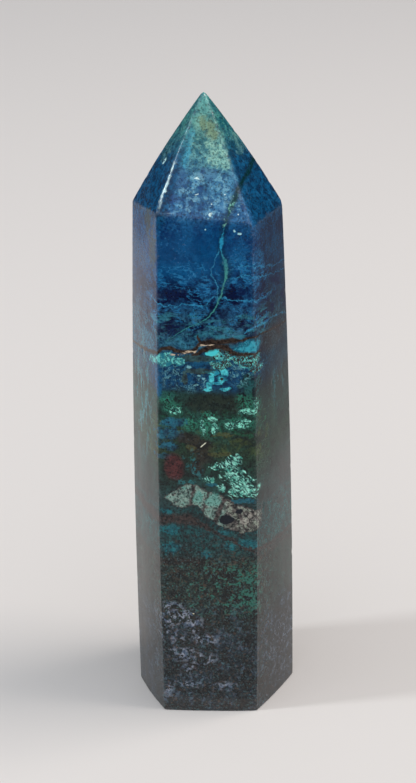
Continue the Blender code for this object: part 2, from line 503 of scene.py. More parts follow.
def blue_zone(rock, colour):
    """Navy blotches, a pale streaky web, a smoother lighter stretch under the shoulder, and painted glints."""
    paint = rock.paint
    where = rock.between(58.5, 67.0, 1.5)
    colour = paint.mix(paint.both(where, paint.ramp(rock.blotch, 0.49, 0.58)), colour, shown(3, 16, 50))
    smooth = paint.lump(rock.bent, (-2.5, -9, 69.6), (5.2, 5, 3.2), 0.45)
    colour = paint.mix(paint.math("MULTIPLY", smooth, 0.45), colour, shown(1, 72, 116))
    dim = paint.both(rock.between(66.0, 75.0, 1.0), rock.front, paint.ramp(rock.swirl, 0.52, 0.62), 0.5)
    colour = paint.mix(dim, colour, shown(1, 36, 74))
    patchy = paint.ramp(rock.cloud, 0.44, 0.58)
    across = rock.between(58.5, 69.5, 1.2)
    web = paint.both(rock.web, patchy, across, rock.front)
    colour = paint.mix(paint.math("MULTIPLY", web, 0.8), colour, shown(30, 108, 152))
    low = paint.both(rock.between(58.0, 62.0, 0.8), paint.ramp(rock.streaks, 0.50, 0.60), rock.front)
    colour = paint.mix(paint.math("MULTIPLY", low, 0.6), colour, shown(44, 118, 132))
    pools = rock.rags(((-4.6, 59.8, 1.5, 1.0), (-6.7, 59.3, 0.5, 0.4), (-5.0, 64.6, 2.2, 0.7)), 0.35, 0.2)
    colour = paint.mix(paint.math("MULTIPLY", pools, 0.8), colour, shown(8, 20, 54))
    cluster = rock.spots(((-5.9, 72.6, 1.3, 1.8), (-3.5, 73.8, 2.0, 0.6)), 0.5, rock.bent)
    dust = paint.both(paint.ramp(rock.specks, 0.30, 0.16), cluster)
    colour = paint.mix(paint.math("MULTIPLY", dust, 0.45), colour, shown(40, 104, 148))
    # Painted glints: small painted highlights near the shoulder.
    painted_glints = rock.spots(((3.5, 73.5, 0.2, 0.13), (4.2, 73.2, 0.26, 0.15), (-0.3, 73.6, 0.12, 0.1)))
    return paint.mix(painted_glints, colour, shown(150, 200, 226))


def tip_zone(rock, colour):
    """Pale green clouds high on the tip, marbled slate blue below them, deep blue aside (partly painted shade),
    painted glints and a painted highlight dash.
    """
    paint = rock.paint
    tip = paint.ramp(rock.z, 74.6, 75.2)
    light = paint.bands(rock.z, [
        (75.0, (86, 132, 164)), (79.0, (66, 126, 164)), (82.0, (86, 148, 160)),
        (85.0, (112, 158, 138)), (90.0, (88, 156, 150))])
    dark = paint.bands(rock.z, [
        (75.0, (18, 56, 98)), (79.5, (14, 54, 104)), (82.0, (16, 80, 108)),
        (85.0, (34, 90, 94)), (90.0, (32, 94, 100))])
    marbled = paint.math("MULTIPLY_ADD", rock.fray, 0.7, rock.swirl)
    colour = paint.mix(paint.both(tip, paint.ramp(marbled, 0.84, 1.04), 0.62), colour, light)
    colour = paint.mix(paint.both(tip, paint.ramp(marbled, 0.85, 0.68), 0.6), colour, dark)
    violet = rock.rags(((-3.5, 80.0, 1.3, 1.2), (0.2, 80.6, 1.2, 0.7), (-4.6, 77.6, 1.0, 0.7)), 0.5, 0.2)
    colour = paint.mix(paint.math("MULTIPLY", violet, 0.4), colour, shown(38, 60, 108))
    cyan = rock.rags(((-2.8, 83.2, 0.9, 1.8), (-2.2, 85.2, 0.6, 1.0)), 0.8, 0.5)
    colour = paint.mix(paint.math("MULTIPLY", cyan, 0.5), colour, shown(26, 134, 166))
    olive = rock.rags(((-0.3, 86.6, 0.5, 1.0), (0.6, 85.8, 0.6, 1.1), (1.1, 85.0, 0.4, 0.7)), 0.8, 0.5)
    colour = paint.mix(paint.math("MULTIPLY", olive, 0.5), colour, shown(104, 108, 54))
    pale = rock.rags(((1.7, 82.6, 1.5, 1.3), (2.6, 81.6, 0.9, 0.9), (0.4, 83.9, 0.8, 0.5)), 0.6, 0.2)
    crackled = paint.mix(paint.ramp(rock.grain, 0.36, 0.62), shown(70, 120, 116), shown(140, 184, 164))
    colour = paint.mix(paint.math("MULTIPLY", pale, 0.6), colour, crackled)
    ragged_level = paint.math("MULTIPLY_ADD", rock.fray, 1.6, paint.math("ADD", rock.z, -0.8))
    rim = paint.vein(rock.x, ragged_level, (
        (0.0, 82.5), (0.8, 82.0), (1.6, 81.7), (2.4, 81.8), (3.2, 82.3)), ((0.0, 0.08), (3.2, 0.16)), 0.6)
    rim = paint.both(rim, paint.ramp(rock.x, -0.1, 0.3), paint.ramp(rock.x, 3.2, 2.8), rock.front)
    rim = paint.both(rim, paint.ramp(rock.fray, 0.42, 0.52), 0.85)
    colour = paint.mix(rim, colour, shown(146, 188, 178))
    wisps = rock.rags((
        (-1.3, 79.8, 1.0, 0.6), (-1.1, 77.7, 1.6, 0.4), (2.1, 78.8, 0.7, 1.3), (0.9, 79.4, 0.8, 0.5),
        (0.5, 75.6, 0.9, 0.5), (0.9, 77.0, 0.7, 0.5), (-3.6, 76.2, 1.4, 0.5), (3.3, 76.9, 1.0, 1.0),
        (-2.4, 78.6, 1.2, 0.3)), 1.2, 0.3)
    torn = paint.ramp(paint.math("ABSOLUTE", paint.math("ADD", rock.swirl, -0.5)), 0.05, 0.02)
    wisps = paint.both(wisps, paint.ramp(torn, 0.0, 1.0, 0.4, 1.0), 0.5)
    colour = paint.mix(wisps, colour, rock.streaky((70, 140, 176), (146, 190, 194)))
    # Painted glints: small painted highlights on the tip.
    painted_glints = rock.spots((
        (-1.3, 79.9, 0.3, 0.1), (0.5, 75.5, 0.22, 0.2), (-5.4, 77.5, 0.12, 0.12), (0.7, 76.9, 0.1, 0.1),
        (-1.4, 78.1, 0.24, 0.06), (2.3, 78.0, 0.08, 0.12), (4.0, 75.4, 0.12, 0.1)))
    colour = paint.mix(painted_glints, colour, shown(180, 214, 216))
    # The tip's side facets: deep blue, partly their own colour and partly painted shade, as those facets get less
    # light.
    off_axis = paint.math("ABSOLUTE", paint.math("ADD", rock.x, -0.1))
    aside = paint.ramp(paint.math("MULTIPLY_ADD", rock.z, 0.37, off_axis), 33.2, 33.9)
    aside = paint.both(aside, paint.ramp(rock.z, 72.5, 75.5))
    teal = paint.both(aside, paint.ramp(rock.z, 80.0, 84.0), 0.6)
    colour = paint.mix(teal, colour, rock.streaky((2, 62, 80), (26, 104, 104)))
    deep = paint.both(aside, paint.ramp(rock.z, 86.0, 81.5), 0.92)
    colour = paint.mix(deep, colour, rock.streaky((0, 38, 66), (0, 68, 106)))
    scale = paint.either(
        paint.lump(rock.curly, (4.4, -1.6, 83.4), (1.0, 1.6, 1.3), 0.8),
        paint.lump(rock.curly, (-5.2, -1.2, 82.4), (1.2, 1.6, 1.5), 0.8))
    scale = paint.both(rock.torn(scale, 1.2, 0.3), 0.4)
    colour = paint.mix(scale, colour, rock.streaky((40, 92, 96), (100, 138, 122)))
    # A painted highlight: a short pale dash on the tip's left facet.
    highlight_dash = paint.lump(rock.curly, (-5.4, -2.5, 81.1), (0.5, 0.3, 0.5), 0.3)
    return paint.mix(paint.both(highlight_dash, paint.ramp(rock.fray, 0.44, 0.50)), colour, shown(170, 206, 216))


def green_vein(rock, colour):
    """The forked vein that runs down the tip and the upper shaft."""
    paint = rock.paint
    route = (
        (57.6, -6.1), (59.7, -3.1), (61.3, -0.3), (63.0, 1.0), (65.2, 1.8), (67.5, 2.4),
        (69.2, 2.2), (70.6, 1.7), (72.0, 1.9), (74.9, 2.5), (76.7, 3.3), (78.6, 4.4), (80.3, 5.9), (82.0, 7.0))
    halo = (
        (57.6, 0.1), (63.0, 0.35), (68.0, 0.75), (72.0, 0.5), (76.0, 0.6), (82.0, 0.7))
    core = (
        (57.6, 0.05), (60.5, 0.10), (63.0, 0.10), (66.5, 0.14), (68.8, 0.22), (70.4, 0.10),
        (72.0, 0.28), (73.6, 0.04), (75.5, 0.2), (78.0, 0.36), (82.0, 0.4))
    forward = paint.ramp(rock.y, 2.0, -1.0)
    reach = paint.both(forward, paint.ramp(rock.z, 57.4, 57.9), paint.ramp(rock.z, 82.4, 81.8))
    wobble = paint.math("MULTIPLY_ADD", rock.fray, 1.0, rock.x)
    across = paint.math("MULTIPLY_ADD", rock.grain, 0.3, paint.math("ADD", wobble, -0.65))
    dark = paint.both(reach, paint.vein(rock.z, across, route, halo, 0.6))
    colour = paint.mix(paint.math("MULTIPLY", dark, 0.6), colour, shown(3, 34, 52))
    tint = paint.bands(rock.z, [
        (57.6, (40, 110, 116)), (62.5, (54, 126, 122)), (66.0, (60, 132, 122)),
        (69.5, (46, 118, 126)), (71.0, (30, 130, 168)), (73.4, (34, 130, 160)),
        (74.3, (4, 56, 62)), (76.5, (0, 46, 48)), (78.0, (0, 36, 40)), (82.0, (0, 34, 36))])
    patchy = paint.ramp(rock.grain, 0.62, 0.46, 0.35, 1.0)
    line = paint.both(reach, paint.vein(rock.z, across, route, core, 0.6), patchy)
    colour = paint.mix(line, colour, tint)
    flecks = paint.both(
        paint.vein(rock.z, across, route, ((73.6, 0.2), (78.3, 0.3)), 0.5), reach,
        rock.between(74.0, 77.9, 0.2), paint.ramp(rock.fray, 0.51, 0.57))
    colour = paint.mix(paint.math("MULTIPLY", flecks, 0.85), colour, shown(104, 166, 150))
    branch = paint.both(rock.front, rock.between(63.6, 70.8, 0.3), paint.vein(
        rock.z, across, ((63.2, 1.1), (65.2, 1.1), (66.5, 0.8), (67.5, 0.4), (68.7, 0.7),
                         (70.0, 1.1), (71.2, 1.6)), ((63.2, 0.08), (71.2, 0.06)), 0.6))
    return paint.mix(paint.both(branch, patchy, 0.85), colour, shown(42, 124, 158))


def pale_lines(rock, colour):
    """Thin pale blue cracks that cross the blue zone and run on round the sides."""
    paint = rock.paint
    wobble = paint.math("MULTIPLY_ADD", rock.fray, 1.6, rock.z)
    height = paint.math("ADD", wobble, -0.8)
    broken = paint.ramp(rock.grain, 0.42, 0.56, 0.4, 1.0)
    aside = paint.ramp(rock.y, -6.0, -8.0, 0.4, 1.0)
    for tilt, route, half in (
            (0.1, ((-9.0, 64.2), (-7.1, 63.4), (-5.9, 62.9), (-4.5, 62.8), (-3.2, 63.2),
                   (-1.2, 63.1), (0.9, 64.2), (3.1, 63.7), (4.9, 63.6), (7.0, 63.2)), 0.09),
            (-0.15, ((1.9, 65.9), (3.3, 66.8), (4.6, 67.0), (6.1, 66.9), (9.0, 66.4)), 0.06),
            (-0.15, ((2.6, 68.0), (4.0, 68.4), (6.4, 68.2), (9.0, 67.6)), 0.05),
            (-0.3, ((4.0, 58.6), (5.5, 59.2), (6.3, 59.6), (9.0, 61.0)), 0.08)):
        ends = paint.both(
            paint.ramp(rock.x, route[0][0], route[0][0] + 1.0),
            paint.ramp(rock.x, route[-1][0] + 2.0, route[-1][0] + 1.0))
        line = paint.vein(rock.x, rock.level(tilt, height), route, ((-9.0, half), (9.0, half)), 0.7)
        colour = paint.mix(paint.both(line, ends, broken, aside), colour, shown(40, 126, 164))
    return colour


def brown_vein(rock, colour):
    """The chocolate vein across the shaft, with cream in it and turquoise pieces under it."""
    paint = rock.paint
    ragged_level = rock.level(-0.05, rock.curly_z)
    squiggle = paint.math("ABSOLUTE", paint.math("ADD", rock.swirl, -0.5))
    left = rock.rags(((-6.2, 55.2, 1.9, 0.9), (-4.2, 54.9, 0.9, 0.6), (-8.6, 55.0, 1.2, 1.2)), 0.4)
    right = rock.rags((
        (2.6, 55.9, 2.2, 0.9), (5.0, 55.2, 1.9, 1.1), (1.6, 54.6, 1.7, 0.7), (6.0, 54.0, 1.2, 0.7)), 0.4)
    dull = rock.rags(((-1.6, 55.5, 2.4, 0.6), (-1.5, 53.6, 1.9, 0.4), (-3.5, 52.6, 0.5, 1.0)), 0.5)
    colour = paint.mix(paint.math("MULTIPLY", dull, 0.75), colour, rock.streaky((34, 40, 34), (52, 74, 68)))
    turquoise = rock.streaky((26, 104, 120), (96, 186, 178))
    brown = paint.mix(paint.ramp(rock.grain, 0.3, 0.7), shown(18, 14, 14), shown(60, 48, 41))
    tangle = paint.math("ABSOLUTE", paint.math("ADD", rock.folds, -0.5))
    veined = paint.mix(paint.ramp(tangle, 0.085, 0.045), turquoise, brown)
    colour = paint.mix(paint.math("MULTIPLY", right, 0.92), colour, veined)
    lined = paint.mix(paint.ramp(squiggle, 0.03, 0.01), turquoise, shown(30, 66, 74))
    colour = paint.mix(paint.math("MULTIPLY", left, 0.85), colour, lined)
    cyan = rock.rags(((0.2, 56.45, 0.85, 0.45),), 0.25)
    colour = paint.mix(cyan, colour, shown(66, 186, 190))
    teal = rock.rags(((5.0, 57.1, 1.9, 0.9),), 0.35)
    colour = paint.mix(teal, colour, rock.streaky((14, 80, 100), (44, 142, 160)))
    upper = paint.vein(rock.x, ragged_level, (
        (-11.0, 54.9), (-7.4, 56.1), (-5.7, 56.8), (-4.6, 56.6), (-3.2, 56.4), (-2.1, 56.8),
        (-1.2, 57.6), (0.7, 58.0), (2.1, 58.0), (4.1, 58.1), (6.3, 58.3), (11.0, 58.0)), (
        (-11.0, 0.16), (-5.5, 0.3), (-2.0, 0.32), (0.7, 0.52), (2.6, 0.5), (4.2, 0.16), (11.0, 0.13)), 0.5)
    lower = paint.vein(rock.x, ragged_level, (
        (-3.0, 56.0), (-1.9, 56.2), (-0.6, 56.8), (0.7, 57.2), (1.9, 57.1), (2.7, 56.7),
        (3.4, 56.1), (4.5, 55.9), (7.0, 56.0)), (
        (-3.0, 0.1), (-1.0, 0.36), (0.7, 0.5), (1.9, 0.55), (3.4, 0.28), (7.0, 0.2)), 0.5)
    lower = paint.both(lower, rock.front, paint.ramp(rock.x, -3.0, -2.2), paint.ramp(rock.x, 7.2, 6.6))
    spur = rock.spots(((-1.35, 58.2, 0.16, 0.7),))
    colour = paint.mix(paint.either(upper, lower, spur), colour, brown)
    cream = paint.vein(rock.x, ragged_level, (
        (-5.5, 55.9), (-4.4, 55.9), (-3.2, 56.35), (-2.1, 56.5), (-1.5, 57.1), (-0.8, 57.4), (0.9, 57.55)), (
        (-5.5, 0.12), (-3.0, 0.16), (-1.6, 0.12), (0.9, 0.07)), 0.5)
    ends = paint.both(paint.ramp(rock.x, -5.6, -5.0), paint.ramp(rock.x, 0.9, 0.5), rock.front)
    worn = paint.ramp(rock.fray, 0.44, 0.52)
    return paint.mix(paint.both(cream, ends, worn), colour, shown(178, 158, 134))


def royal_zone(rock, colour):
    """Royal blue under the brown vein, with turquoise drips and small flecks."""
    paint = rock.paint
    where = paint.both(rock.between(50.9, 55.0, 0.9), rock.front, paint.ramp(rock.x, 7.0, 6.0, 0.1, 1.0))
    colour = paint.mix(paint.math("MULTIPLY", where, 0.75), colour, rock.streaky((5, 34, 66), (8, 68, 106)))
    dirty = paint.both(where, paint.ramp(rock.fray, 0.55, 0.64), 0.5)
    colour = paint.mix(dirty, colour, shown(40, 50, 56))
    green = rock.rags(((5.4, 51.6, 1.6, 1.6), (-6.4, 50.0, 1.6, 0.8)), 0.5, 0.2)
    colour = paint.mix(paint.math("MULTIPLY", green, 0.8), colour, rock.streaky((14, 26, 26), (30, 80, 74)))
    edges = paint.math("ABSOLUTE", paint.math("ADD", rock.folds, -0.5))
    lines = paint.both(
        rock.spots((
            (-4.8, 53.0, 2.4, 1.7), (-3.4, 51.4, 1.3, 0.9), (4.0, 52.9, 1.7, 1.3), (3.0, 53.9, 2.4, 0.7),
            (-0.9, 51.9, 1.1, 0.9)), 0.6),
        paint.ramp(edges, 0.05, 0.02), paint.ramp(rock.fray, 0.46, 0.53), 0.75)
    colour = paint.mix(lines, colour, shown(92, 152, 160))
    drips = rock.rags((
        (0.15, 52.5, 0.36, 0.9), (-0.1, 51.4, 0.34, 0.7), (0.4, 53.4, 0.9, 0.3), (1.55, 52.45, 0.66, 0.62),
        (1.9, 53.5, 0.45, 0.6), (0.9, 51.7, 0.6, 0.25), (1.9, 51.0, 0.8, 0.22), (-0.4, 50.8, 0.7, 0.2)), 0.5, 0.15)
    colour = paint.mix(drips, colour, rock.streaky((28, 124, 146), (74, 186, 192)))
    hole = rock.spots(((1.55, 52.45, 0.24, 0.22),), 0.35, rock.bent)
    colour = paint.mix(hole, colour, shown(42, 36, 32))
    edge = rock.rags(((-7.2, 51.8, 0.5, 2.2),), 0.4, 0.3)
    colour = paint.mix(paint.math("MULTIPLY", edge, 0.7), colour, shown(14, 82, 120))
    flecks = rock.rags((
        (-0.7, 52.5, 0.25, 0.14), (-1.9, 51.6, 0.4, 0.12), (-2.8, 54.1, 0.4, 0.15), (-1.4, 53.0, 0.3, 0.1)), 1.2)
    return paint.mix(paint.math("MULTIPLY", flecks, 0.8), colour, shown(112, 168, 174))


def green_zone(rock, colour):
    """Dark olive and green, with blue streaks on the left, a brown wedge, a maroon spot and a painted glint."""
    paint = rock.paint
    dark = rock.rags(((0.6, 48.8, 4.4, 1.5), (5.2, 43.5, 2.5, 1.2)), 0.25, 0.35)
    colour = paint.mix(paint.math("MULTIPLY", dark, 0.85), colour, rock.streaky((18, 28, 25), (34, 42, 33)))
    where = paint.both(rock.between(40.5, 47.5), rock.front)
    olive = paint.both(where, paint.ramp(rock.cloud, 0.50, 0.60), 0.7)
    colour = paint.mix(olive, colour, rock.streaky((34, 44, 26), (60, 70, 34)))
    green = paint.both(where, paint.ramp(rock.cloud, 0.48, 0.40), paint.ramp(rock.fray, 0.46, 0.58), 0.6)
    colour = paint.mix(green, colour, shown(24, 84, 58))
    left = rock.rags((
        (-6.0, 44.3, 1.9, 0.9), (-6.2, 42.5, 1.6, 0.6), (-5.2, 46.0, 1.8, 0.6), (-6.8, 40.9, 1.2, 0.4)), 0.9, 0.25)
    colour = paint.mix(paint.math("MULTIPLY", left, 0.85), colour, rock.streaky((12, 50, 72), (26, 94, 116)))
    wedge = rock.rags((
        (-3.4, 43.6, 1.9, 0.9), (-1.8, 42.4, 2.0, 1.2), (-1.0, 40.9, 1.3, 1.1), (-2.2, 39.2, 1.0, 1.5)), 0.3, 0.3)
    colour = paint.mix(paint.math("MULTIPLY", wedge, 0.85), colour, rock.streaky((24, 20, 20), (44, 36, 32)))
    gold = rock.rags(((-3.0, 42.2, 0.7, 0.4), (1.0, 41.2, 1.6, 0.4), (1.4, 44.2, 1.6, 0.3)), 0.8, 0.2)
    colour = paint.mix(paint.math("MULTIPLY", gold, 0.5), colour, shown(80, 78, 38))
    # A painted glint: a slanted pale stroke, a small painted highlight.
    slant = paint.math("MULTIPLY_ADD", rock.x, -0.85, rock.z)
    stroke = paint.ramp(paint.math("ABSOLUTE", paint.math("ADD", slant, -43.62)), 0.16, 0.04)
    painted_glint = paint.both(stroke, rock.spots(((-1.15, 42.65, 0.5, 0.5),), 0.3, rock.bent))
    colour = paint.mix(painted_glint, colour, shown(222, 206, 182))
    halo = rock.spots(((-5.6, 39.3, 2.1, 2.6),), 0.5)
    colour = paint.mix(paint.math("MULTIPLY", halo, 0.75), colour, rock.streaky((20, 24, 22), (32, 40, 32)))
    spot = rock.spots(((-5.4, 39.4, 1.3, 1.85),), 0.25)
    colour = paint.mix(paint.math("MULTIPLY", spot, 0.9), colour, rock.streaky((54, 26, 27), (80, 38, 39)))
    teal = rock.spots(((-3.2, 40.6, 0.9, 1.5), (-2.4, 38.6, 0.8, 1.6), (-3.6, 37.2, 1.6, 0.5)), 0.6)
    teal = paint.both(teal, paint.ramp(rock.fray, 0.52, 0.58), 0.75)
    return paint.mix(teal, colour, shown(40, 108, 112))


def mint_scrolls(rock, colour):
    """Bright mint growths: small curls in the green zone and a large feathered one."""
    paint = rock.paint
    ridge = paint.math("ABSOLUTE", paint.math("ADD", rock.swirl, -0.5))
    small = rock.spots((
        (5.3, 48.4, 1.3, 1.5), (4.1, 49.7, 0.7, 0.6), (3.6, 46.0, 2.2, 0.9), (-0.6, 45.6, 1.7, 1.5),
        (-5.2, 48.0, 1.3, 0.8), (-6.0, 49.4, 1.1, 0.7), (-0.2, 47.2, 0.9, 0.5), (-2.9, 46.0, 1.0, 1.2)), 0.7)
    curls = paint.both(small, paint.ramp(ridge, 0.05, 0.02))
    bright = rock.rags((
        (5.0, 47.6, 1.2, 0.5), (6.2, 48.6, 0.3, 1.0), (2.6, 45.7, 0.8, 0.5), (4.1, 46.2, 1.2, 0.35),
        (4.0, 45.5, 1.0, 0.35), (-1.3, 45.4, 0.35, 1.1), (0.1, 46.6, 0.7, 0.35), (0.3, 45.2, 0.5, 0.9),
        (-5.0, 47.8, 0.7, 0.5)), 0.5)
    large = rock.spots((
        (2.7, 40.0, 1.4, 0.8), (3.5, 40.8, 0.4, 0.6), (2.9, 38.3, 1.5, 1.2), (4.0, 36.9, 1.7, 1.3),
        (4.9, 35.6, 1.4, 1.1), (3.4, 35.4, 1.2, 0.8), (0.5, 39.5, 0.9, 0.5), (-0.6, 37.3, 0.7, 0.6),
        (1.2, 35.9, 0.7, 0.7)), 0.7)
    jagged = paint.ramp(paint.math("MULTIPLY_ADD", rock.strokes, 2.6, large), 1.72, 1.88)
    large = paint.both(jagged, paint.ramp(large, 0.04, 0.3))
    deep = paint.mix(paint.ramp(rock.fray, 0.38, 0.56), shown(28, 104, 92), shown(120, 200, 178))
    dark = paint.ramp(ridge, 0.055, 0.025)
    mint = paint.mix(dark, deep, shown(14, 48, 46))
    colour = paint.mix(paint.math("MULTIPLY", curls, 0.8), colour, shown(44, 124, 100))
    colour = paint.mix(bright, colour, mint)
    edges = paint.math("ABSOLUTE", paint.math("ADD", rock.strokes, -0.53))
    feather = paint.mix(
        paint.ramp(rock.fray, 0.38, 0.58), shown(40, 124, 108), shown(138, 206, 188))
    feather = paint.mix(paint.ramp(edges, 0.060, 0.028), feather, shown(12, 46, 46))
    shade = rock.spots(((0.9, 38.2, 2.0, 2.6), (3.2, 37.6, 2.4, 2.8)), 0.5)
    colour = paint.mix(paint.math("MULTIPLY", shade, 0.6), colour, rock.streaky((16, 34, 30), (24, 64, 52)))
    colour = paint.mix(large, colour, feather)
    elsewhere = rock.torn(paint.both(
        paint.ramp(rock.y, 0.5, 3.5), rock.between(33.0, 50.0, 2.0),
        paint.ramp(rock.thickets, 0.54, 0.68), paint.ramp(rock.cloud, 0.42, 0.58)), 1.1)
    colour = paint.mix(paint.math("MULTIPLY", elsewhere, 0.6), colour, feather)
    under = rock.rags(((4.2, 34.1, 2.0, 0.35), (-0.2, 36.6, 0.8, 0.3)), 0.5, 0.2)
    return paint.mix(paint.math("MULTIPLY", under, 0.85), colour, shown(20, 84, 98))


def pale_band(rock, colour):
    """The pale band of blocks, outlined in grey brown, that dips to the right."""
    paint = rock.paint
    top = paint.curve(rock.x, (
        (-7.0, 34.8), (-6.3, 35.3), (-5.0, 36.1), (-3.4, 36.8), (-1.1, 35.8), (1.3, 34.7),
        (3.8, 33.6), (6.6, 32.6)))
    bottom = paint.curve(rock.x, (
        (-7.0, 34.8), (-5.9, 34.1), (-5.1, 33.3), (-2.4, 33.3), (-1.3, 31.8), (0.2, 30.8), (1.0, 30.3),
        (3.9, 29.2), (6.6, 29.8)))
    height = paint.math("MULTIPLY_ADD", rock.fray, 1.5, paint.math("ADD", rock.z, -0.75))
    depth = paint.math(
        "MINIMUM", paint.math("SUBTRACT", top, height), paint.math("SUBTRACT", height, bottom))
    inside = paint.both(
        paint.ramp(depth, -0.05, 0.12), rock.front, paint.ramp(rock.x, 7.0, 6.2), paint.ramp(rock.x, -7.0, -6.6))
    outline = paint.mix(paint.ramp(rock.grain, 0.35, 0.65), shown(26, 25, 26), shown(82, 74, 71))
    colour = paint.mix(inside, colour, outline)
    nearest = None
    sideways = paint.math("MULTIPLY_ADD", rock.fray, 1.2, paint.math("ADD", rock.x, -0.6))
    for x, lean, wide in ((-3.1, 0.1, 0.1), (-1.3, 0.3, 0.0), (1.25, 0.42, 0.22), (3.3, -0.3, 0.0)):
        slanted = paint.math("MULTIPLY_ADD", paint.math("SUBTRACT", rock.z, 33.5), -lean, sideways)
        wall = paint.math("SUBTRACT", paint.math("ABSOLUTE", paint.math("SUBTRACT", slanted, x)), wide)
        nearest = paint.math("MINIMUM", nearest, wall) if nearest else wall
    block = paint.both(inside, paint.ramp(depth, 0.06, 0.30), paint.ramp(nearest, 0.04, 0.26))
    dirtier = paint.ramp(rock.x, 0.5, 2.5, 0.0, 0.10)
    clean = paint.ramp(paint.math("SUBTRACT", rock.fray, dirtier), 0.36, 0.46, 0.1, 1.0)
    mottled = paint.math("MULTIPLY_ADD", rock.grain, 0.5, rock.swirl)
    pale = paint.bands(mottled, [
        (0.54, (42, 56, 54)), (0.66, (76, 98, 92)), (0.78, (116, 142, 131)), (0.92, (78, 128, 118))])
    grey = paint.mix(
        paint.ramp(mottled, 0.62, 0.82), shown(60, 54, 50), shown(140, 142, 126))
    pale = paint.mix(paint.ramp(rock.x, 1.2, 2.4, 0.0, 0.75), pale, grey)
    colour = paint.mix(paint.both(block, clean), colour, pale)
    soot = paint.both(block, paint.ramp(rock.fine, 0.44, 0.34), 0.75)
    colour = paint.mix(soot, colour, shown(58, 54, 54))
    chalk = paint.both(block, paint.ramp(rock.fine, 0.58, 0.66), 0.5)
    colour = paint.mix(chalk, colour, shown(160, 160, 152))
    mint = rock.rags(((-0.1, 34.2, 1.2, 1.0), (-2.2, 34.6, 0.7, 0.8)), 0.4, 0.2)
    colour = paint.mix(paint.math("MULTIPLY", mint, 0.5), colour, shown(84, 150, 138))
    black = rock.rags(((1.9, 31.4, 1.0, 0.8), (3.7, 32.7, 0.6, 0.4)), 0.2)
    colour = paint.mix(black, colour, shown(10, 16, 26))
    cream = rock.rags(((5.3, 32.1, 0.6, 0.5), (4.4, 31.0, 0.8, 0.5)), 1.0)
    return paint.mix(paint.math("MULTIPLY", cream, 0.55), colour, shown(158, 152, 142))


def teal_zone(rock, colour):
    """Teal under the pale band, crossed by dark brown lines."""
    paint = rock.paint
    where = rock.between(25.5, 33.0, 0.8)
    colour = paint.mix(paint.math("MULTIPLY", where, 0.7), colour, rock.streaky((18, 40, 42), (20, 78, 78)))
    dirty = paint.both(where, paint.ramp(rock.fray, 0.50, 0.58), 0.7)
    colour = paint.mix(dirty, colour, shown(28, 26, 26))
    bright = rock.rags((
        (-6.4, 26.7, 1.3, 0.9), (-6.0, 29.6, 1.3, 0.8), (5.0, 27.4, 1.4, 0.9), (-1.1, 25.9, 0.7, 0.7),
        (-6.3, 32.5, 1.1, 0.5), (1.3, 29.3, 0.9, 0.3), (2.4, 27.0, 0.8, 0.5)), 0.9, 0.2)
    colour = paint.mix(paint.math("MULTIPLY", bright, 0.85), colour, rock.streaky((6, 70, 80), (12, 100, 108)))
    ridge = paint.math("ABSOLUTE", paint.math("ADD", rock.folds, -0.5))
    net = paint.both(where, rock.front, paint.ramp(ridge, 0.035, 0.012), 0.6)
    colour = paint.mix(net, colour, shown(20, 24, 25))
    brown = paint.mix(paint.ramp(rock.grain, 0.3, 0.7), shown(17, 14, 14), shown(64, 50, 46))
    ragged_level = rock.level(0.05, paint.math("MULTIPLY_ADD", rock.fray, 1.5, paint.math("ADD", rock.curly_z, -0.75)))
    top = paint.vein(rock.x, ragged_level, (
        (-11.0, 31.0), (-7.7, 31.2), (-5.0, 31.3), (-3.3, 31.4), (-1.5, 30.4), (1.0, 29.0), (3.0, 27.9),
        (4.4, 26.9), (6.0, 26.2), (11.0, 25.2)), (
        (-11.0, 0.5), (-6.0, 0.9), (-3.3, 0.8), (-1.0, 0.4), (3.0, 0.3), (6.0, 0.4), (11.0, 0.25)), 0.6)
    low = paint.vein(rock.x, ragged_level, (
        (-11.0, 24.4), (-6.0, 24.6), (-3.0, 24.9), (0.5, 24.0), (4.5, 24.9), (11.0, 23.5)), (
        (-11.0, 0.1), (-4.0, 0.4), (0.0, 0.25), (5.0, 0.5), (11.0, 0.2)), 0.7)
    low = paint.both(low, paint.ramp(rock.fray, 0.44, 0.52), 0.8)
    return paint.mix(paint.math("MULTIPLY", paint.either(top, low), 0.9), colour, brown)


